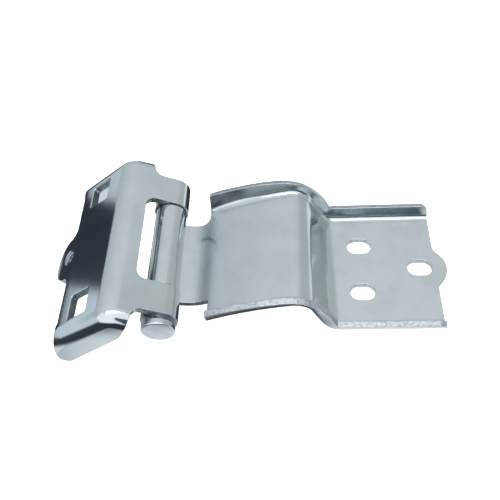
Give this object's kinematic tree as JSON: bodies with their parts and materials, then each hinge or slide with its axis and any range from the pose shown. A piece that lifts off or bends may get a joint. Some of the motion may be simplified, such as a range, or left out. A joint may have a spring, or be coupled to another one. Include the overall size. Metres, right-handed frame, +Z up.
{
  "type": "van rear door hinge",
  "caption": "Pressed steel hinge for a van's rear door: a cranked arm with flared edges and slots turns on a headed pin between the lugs of a folded body bracket.",
  "frame": {"origin": "under the middle of the whole hinge, on the plane of the door plate's underside", "axes": "+X from the body bracket to the door plate, +Y along the pin from its head, +Z up out of the door plate"},
  "size_m": [0.191, 0.0956, 0.0373],
  "materials": {
    "pillar_zinc": "bright zinc plating, semi-gloss",
    "door_zinc": "bright zinc plating, semi-gloss",
    "pin_zinc": "bright zinc plating, semi-gloss"
  },
  "bodies": {
    "bracket": {"pillar_leaf": "pillar_zinc", "hinge_pin": "pin_zinc"},
    "arm": {"door_leaf": "door_zinc"}
  },
  "joints": [
    {"name": "door_swing", "type": "hinge", "parent": "bracket", "child": "arm", "pos_m": [-0.03873, -0.0008, 0.0206], "axis": [0, 1, 0], "range_deg": [-125, 157]}
  ]
}
